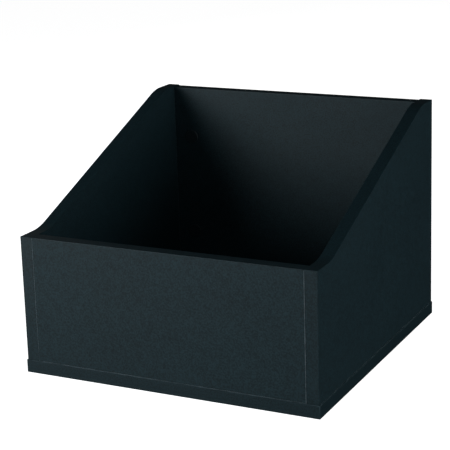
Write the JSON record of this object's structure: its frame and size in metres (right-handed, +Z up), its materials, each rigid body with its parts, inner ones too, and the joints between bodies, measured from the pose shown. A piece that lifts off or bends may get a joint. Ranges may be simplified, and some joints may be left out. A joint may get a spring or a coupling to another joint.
{
  "type": "record storage box",
  "caption": "Open storage box for records, with a low front, a high back and side panels that slope between them, in black coated board with banded edges.",
  "frame": {"origin": "middle of the underside of the base panel", "axes": "+Z up, the low front faces -Y, +X to the right of someone who faces the front"},
  "size_m": [0.362, 0.362, 0.271],
  "materials": {
    "coated_board": "black melamine facing on particle board, fine satin grain",
    "edge_band": "black satin edge band",
    "beech": "plain fluted beech",
    "cast_zinc": "bare die-cast zinc",
    "cap_plastic": "black moulded plastic",
    "plated_steel": "bright zinc plate"
  },
  "bodies": {
    "root": {"left_side_panel": "coated_board", "right_side_panel": "coated_board", "front_panel": "coated_board", "rear_panel": "coated_board", "base_panel": "coated_board", "left_side_top_band": "edge_band", "left_side_front_band": "edge_band", "left_side_rear_band": "edge_band", "right_side_top_band": "edge_band", "right_side_front_band": "edge_band", "right_side_rear_band": "edge_band", "front_panel_top_band": "edge_band", "rear_panel_top_band": "edge_band", "base_front_band": "edge_band", "base_rear_band": "edge_band", "base_left_band": "edge_band", "base_right_band": "edge_band", "dowels": "beech", "cams": "cast_zinc", "cam_caps": "cap_plastic", "cam_bolts": "plated_steel", "base_screws": "plated_steel"}
  },
  "joints": []
}
